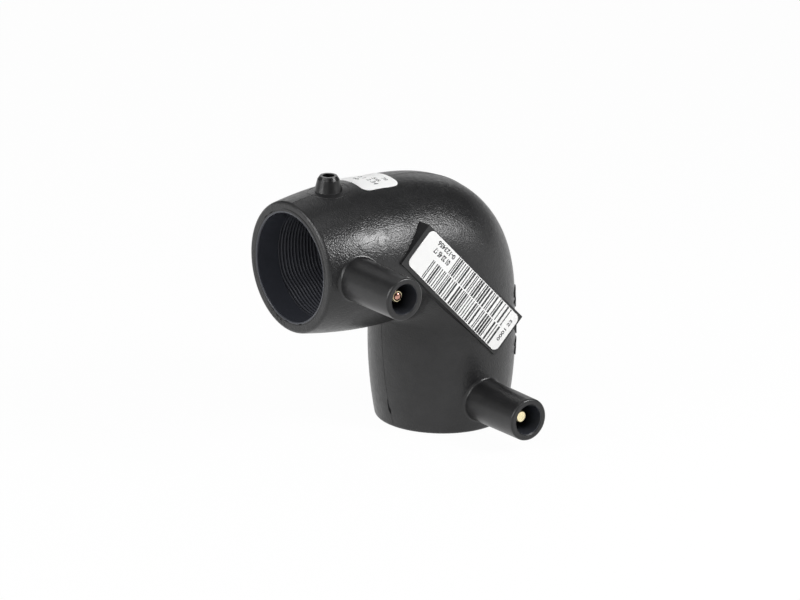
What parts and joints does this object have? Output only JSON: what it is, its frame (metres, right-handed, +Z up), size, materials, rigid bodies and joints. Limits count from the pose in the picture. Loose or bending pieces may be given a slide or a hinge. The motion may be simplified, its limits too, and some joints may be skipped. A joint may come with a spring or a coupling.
{
  "type": "electrofusion elbow",
  "caption": "90 degree plastic pipe elbow with two fusion sockets, a built-in heating wire, shrouded pin terminals and melt indicators.",
  "frame": {"origin": "centre of the lower socket's mouth, on the surface that the elbow stands on", "axes": "+Z up along the lower socket's axis, -X out of the upper socket, -Y the way the two terminals point"},
  "size_m": [0.102, 0.0809, 0.102],
  "materials": {
    "body": "black moulded polyethylene, satin with a fine grain",
    "wire_coat": "black coat over the resistance wire, turns side by side",
    "pin_metal": "turned, pale gold",
    "indicator": "black moulded plastic",
    "label": null
  },
  "bodies": {
    "root": {"elbow_body": "body", "heating_wire": "wire_coat", "lower_terminal_pin": "pin_metal", "upper_terminal_pin": "pin_metal", "lower_indicator_pin": "indicator", "upper_indicator_pin": "indicator", "barcode_label": "label", "top_sticker": "label"}
  },
  "joints": []
}
